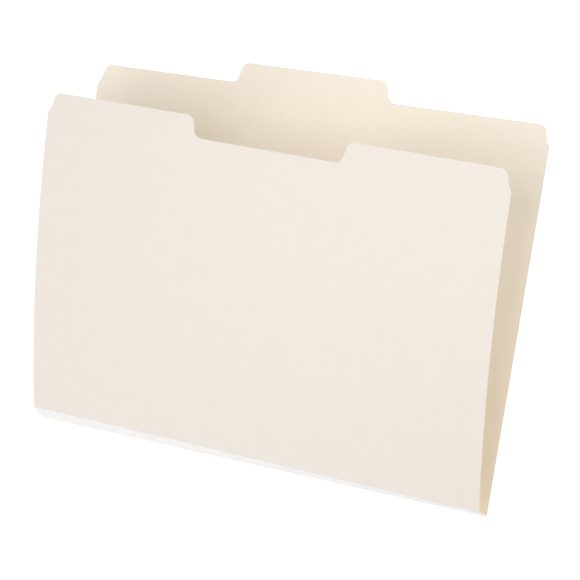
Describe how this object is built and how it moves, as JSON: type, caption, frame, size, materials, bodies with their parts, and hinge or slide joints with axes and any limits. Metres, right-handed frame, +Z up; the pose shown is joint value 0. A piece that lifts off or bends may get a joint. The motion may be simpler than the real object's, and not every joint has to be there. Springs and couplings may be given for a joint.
{
  "type": "file folder",
  "caption": "Card file folder lying open on its back leaf, with a centre tab, a notched front leaf and a scored gusset that lets it expand.",
  "frame": {"origin": "middle of the folder's own box, on the surface that the back leaf lies on", "axes": "+X along the fold, +Y from the fold towards the tab, +Z up, out of the back leaf's inner face"},
  "size_m": [0.296, 0.2416, 0.0652],
  "materials": {
    "card_back": "uncoated manila card, faint fibre mottling",
    "card_gusset": "uncoated manila card, pressed along the scores",
    "card_front": "uncoated manila card, faint fibre mottling"
  },
  "bodies": {
    "back": {"back_leaf": "card_back"},
    "gusset": {"gusset_strip": "card_gusset"},
    "front": {"front_leaf": "card_front"}
  },
  "joints": [
    {"name": "main_fold", "type": "hinge", "parent": "back", "child": "gusset", "pos_m": [0, -0.12053, 0.00028], "axis": [1, 0, 0], "range_deg": [-15, 103]},
    {"name": "outer_score", "type": "hinge", "parent": "gusset", "child": "front", "pos_m": [0, -0.11426, 0.01815], "axis": [0.9999, -0.013, 0.0046], "range_deg": [0, 45]}
  ]
}
